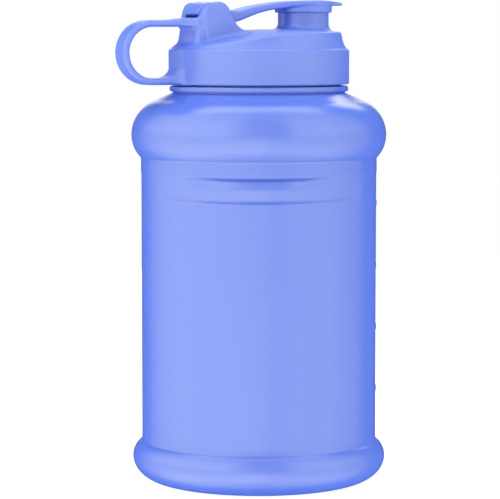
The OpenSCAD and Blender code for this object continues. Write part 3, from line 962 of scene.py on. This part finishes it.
# A deep blue rim light from behind, which only highlights see
RIM_AZIMUTHS = [
    (-180, 0.1), (-160, 0.5), (-135, 0.9), (-115, 0.4), (-95, 0.0), (95, 0.0), (115, 0.4), (135, 0.9),
    (160, 0.5), (180, 0.1),
]
RIM_TINT = (0.0, 0.12, 0.9)
GLOSS_TINT = (1.0, 0.97, 0.62)
GLOSS_LEVEL = 3.05
BOX_LEVEL = 0.95
ROOM_LEVEL = 0.42


def toward(azimuth_deg):
    """Level unit vector from the jug, at an angle to the right of the camera's direction."""
    a = CAMERA_AZIMUTH + math.radians(azimuth_deg)
    return Vector((math.sin(a), -math.cos(a), 0))


def aim(obj, direction):
    """Points a camera or a light along a direction."""
    obj.rotation_mode = "QUATERNION"
    obj.rotation_quaternion = direction.to_track_quat("-Z", "Y")
    bpy.context.scene.collection.objects.link(obj)


def camera():
    """The camera, at the photograph's angle and a little to the left of the jug's axis."""
    data = bpy.data.cameras.new("camera")
    data.lens = FOCAL_PIXELS / IMAGE_WIDTH * data.sensor_width
    data.clip_end = 50
    obj = bpy.data.objects.new("camera", data)
    obj.location = toward(0) * CAMERA_DISTANCE + Vector((0, 0, CAMERA_HEIGHT))
    obj.location -= toward(90) * CAMERA_LEFT
    aim(obj, -toward(0) * math.cos(CAMERA_PITCH) - Vector((0, 0, math.sin(CAMERA_PITCH))))
    bpy.context.scene.camera = obj


def overhead_light():
    """A large soft light above the jug, which stays out of the highlights."""
    data = bpy.data.lights.new("overhead", "AREA")
    data.shape = "RECTANGLE"
    data.size = LIGHT_SIZE
    data.size_y = LIGHT_SIZE
    data.energy = LIGHT_POWER
    obj = bpy.data.objects.new("overhead", data)
    obj.location = toward(0) * LIGHT_FORWARD + Vector((0, 0, LIGHT_HEIGHT))
    obj.visible_glossy = False
    aim(obj, JUG_MIDDLE - obj.location)


def math_node(nodes, links, operation, a, b):
    """A Math node on two values, each a number or another node's output."""
    node = nodes.new("ShaderNodeMath")
    node.operation = operation
    for socket, value in zip(node.inputs, (a, b)):
        if isinstance(value, (int, float)):
            socket.default_value = value
        else:
            links.new(value, socket)
    return node.outputs["Value"]


def levels(nodes, links, value, limit, stops):
    """A grey level read off (value, level) stops between -limit and limit."""
    mapped = nodes.new("ShaderNodeMapRange")
    mapped.inputs["From Min"].default_value = -limit
    mapped.inputs["From Max"].default_value = limit
    links.new(value, mapped.inputs["Value"])
    curve = nodes.new("ShaderNodeValToRGB")
    curve.color_ramp.interpolation = "EASE"
    elements = curve.color_ramp.elements
    while len(elements) < len(stops):
        elements.new(0.5)
    for element, (at, level) in zip(elements, stops):
        element.position = (at + limit) / (2 * limit)
        element.color = (level, level, level, 1)
    links.new(mapped.outputs["Result"], curve.inputs["Fac"])
    return curve.outputs["Color"]


def sky_angles(nodes, links):
    """Where a ray goes: degrees to the right of the camera, and the sine of its height."""
    direction = nodes.new("ShaderNodeTexCoord").outputs["Generated"]
    parts = []
    for axis in (toward(90), toward(0), (0, 0, 1)):
        dot = nodes.new("ShaderNodeVectorMath")
        dot.operation = "DOT_PRODUCT"
        dot.inputs[1].default_value = axis
        links.new(direction, dot.inputs[0])
        parts.append(dot.outputs["Value"])
    azimuth = math_node(nodes, links, "ARCTAN2", parts[0], parts[1])
    return math_node(nodes, links, "MULTIPLY", azimuth, 180 / math.pi), parts[2]


def coloured(nodes, links, boxes, rim):
    """The colour that highlights see: slightly warm soft boxes and the blue rim light."""
    colour = nodes.new("ShaderNodeCombineColor")
    for socket, box_part, rim_part in zip(colour.inputs, GLOSS_TINT, RIM_TINT):
        box_light = math_node(nodes, links, "MULTIPLY", boxes, box_part)
        rim_light = math_node(nodes, links, "MULTIPLY", rim, rim_part)
        links.new(math_node(nodes, links, "ADD", box_light, rim_light), socket)
    return colour.outputs["Color"]


def world():
    """A studio of large soft boxes: a broad one to the left of the camera, a narrower one to the right.

    Highlights see the boxes, diffuse light comes evenly from the room, and the camera sees plain white.
    """
    scene = bpy.context.scene
    scene.world = bpy.data.worlds.new("studio")
    scene.world.use_nodes = True
    nodes, links = scene.world.node_tree.nodes, scene.world.node_tree.links
    azimuth, height = sky_angles(nodes, links)

    def combine(operation, a, b):
        return math_node(nodes, links, operation, a, b)

    def lit(azimuths, heights):
        across = levels(nodes, links, azimuth, 180, azimuths)
        return combine("MULTIPLY", across, levels(nodes, links, height, 1, heights))

    boxes = lit(BOX_AZIMUTHS, BOX_HEIGHTS)
    gap = lit(GAP_AZIMUTHS, GAP_HEIGHTS)
    open_part = combine("SUBTRACT", 1, combine("MULTIPLY", gap, GAP_DEPTH))
    behind = combine("ADD", lit(BACK_AZIMUTHS, BACK_HEIGHTS), lit(LOW_AZIMUTHS, LOW_HEIGHTS))
    behind = combine("ADD", behind, lit(TOP_AZIMUTHS, TOP_HEIGHTS))
    shape = combine("ADD", combine("MULTIPLY", boxes, open_part), behind)
    highlight = combine("MULTIPLY", shape, GLOSS_LEVEL)
    rim = levels(nodes, links, azimuth, 180, RIM_AZIMUTHS)
    even = combine("ADD", combine("MULTIPLY", boxes, BOX_LEVEL), ROOM_LEVEL)
    path = nodes.new("ShaderNodeLightPath")
    light = nodes.new("ShaderNodeMix")
    light.data_type = "RGBA"
    links.new(path.outputs["Is Glossy Ray"], light.inputs["Factor"])
    links.new(combine("MAXIMUM", even, path.outputs["Is Camera Ray"]), light.inputs["A"])
    links.new(coloured(nodes, links, highlight, rim), light.inputs["B"])
    back = nodes["Background"]
    links.new(light.outputs["Result"], back.inputs["Color"])
    back.inputs["Strength"].default_value = 1


floor()
camera()
world()
overhead_light()
bpy.context.scene.view_settings.view_transform = "Standard"
